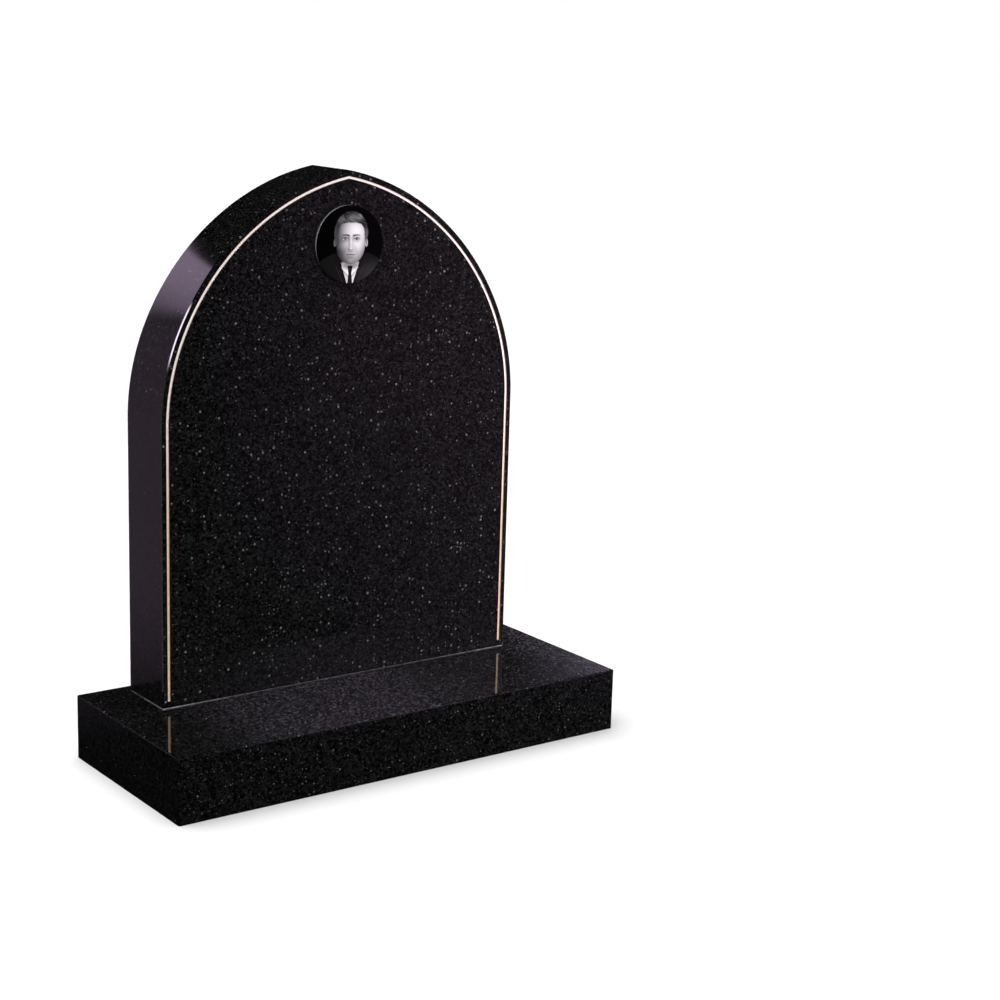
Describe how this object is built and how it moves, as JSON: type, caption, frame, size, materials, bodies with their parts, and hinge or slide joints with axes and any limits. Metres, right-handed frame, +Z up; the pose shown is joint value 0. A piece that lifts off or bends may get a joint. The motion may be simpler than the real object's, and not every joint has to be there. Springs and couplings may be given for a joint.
{
  "type": "headstone",
  "caption": "Upright pointed-arch tablet of polished black stone on a low rectangular plinth, with a gilded pin line and a round ceramic portrait plaque.",
  "frame": {"origin": "middle of the plinth's underside, where the headstone stands on its foundation", "axes": "+Z up along the headstone's height, +X along the front from left to right as a visitor sees it, +Y from front to back, so the front face looks towards -Y"},
  "size_m": [0.762, 0.318, 0.8646],
  "materials": {
    "black_granite": "polished",
    "joint_mortar": "matte",
    "glazed_portrait": "glossy"
  },
  "bodies": {
    "root": {"plinth": "black_granite", "setting_bed": "joint_mortar", "tablet": "black_granite", "portrait_plaque": "glazed_portrait"}
  },
  "joints": []
}
